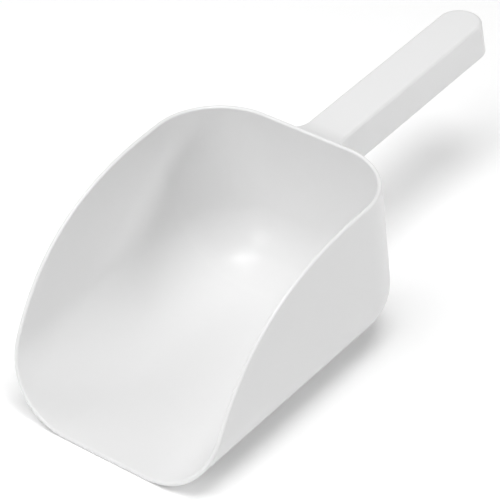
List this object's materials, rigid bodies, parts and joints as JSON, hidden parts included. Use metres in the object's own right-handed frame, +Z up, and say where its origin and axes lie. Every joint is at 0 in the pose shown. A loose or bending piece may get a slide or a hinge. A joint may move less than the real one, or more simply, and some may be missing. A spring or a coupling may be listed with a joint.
{
  "type": "feed scoop",
  "caption": "Hand scoop with a deep open bowl that has rounded corners and a curved mouth, and a straight hollow box handle on its back wall.",
  "frame": {"origin": "on the underside of the bowl, in the middle of its flat floor", "axes": "+Z up, +Y from the lip of the bowl towards the tip of the handle, +X to the right when looking along +Y"},
  "size_m": [0.1326, 0.3381, 0.1058],
  "materials": {
    "bowl_plastic": "white moulded polypropylene, satin",
    "handle_plastic": "white moulded polypropylene, satin",
    "handle_base_plastic": "white moulded polypropylene, satin"
  },
  "bodies": {
    "root": {"bowl": "bowl_plastic", "handle_shell": "handle_plastic", "handle_base": "handle_base_plastic"}
  },
  "joints": []
}
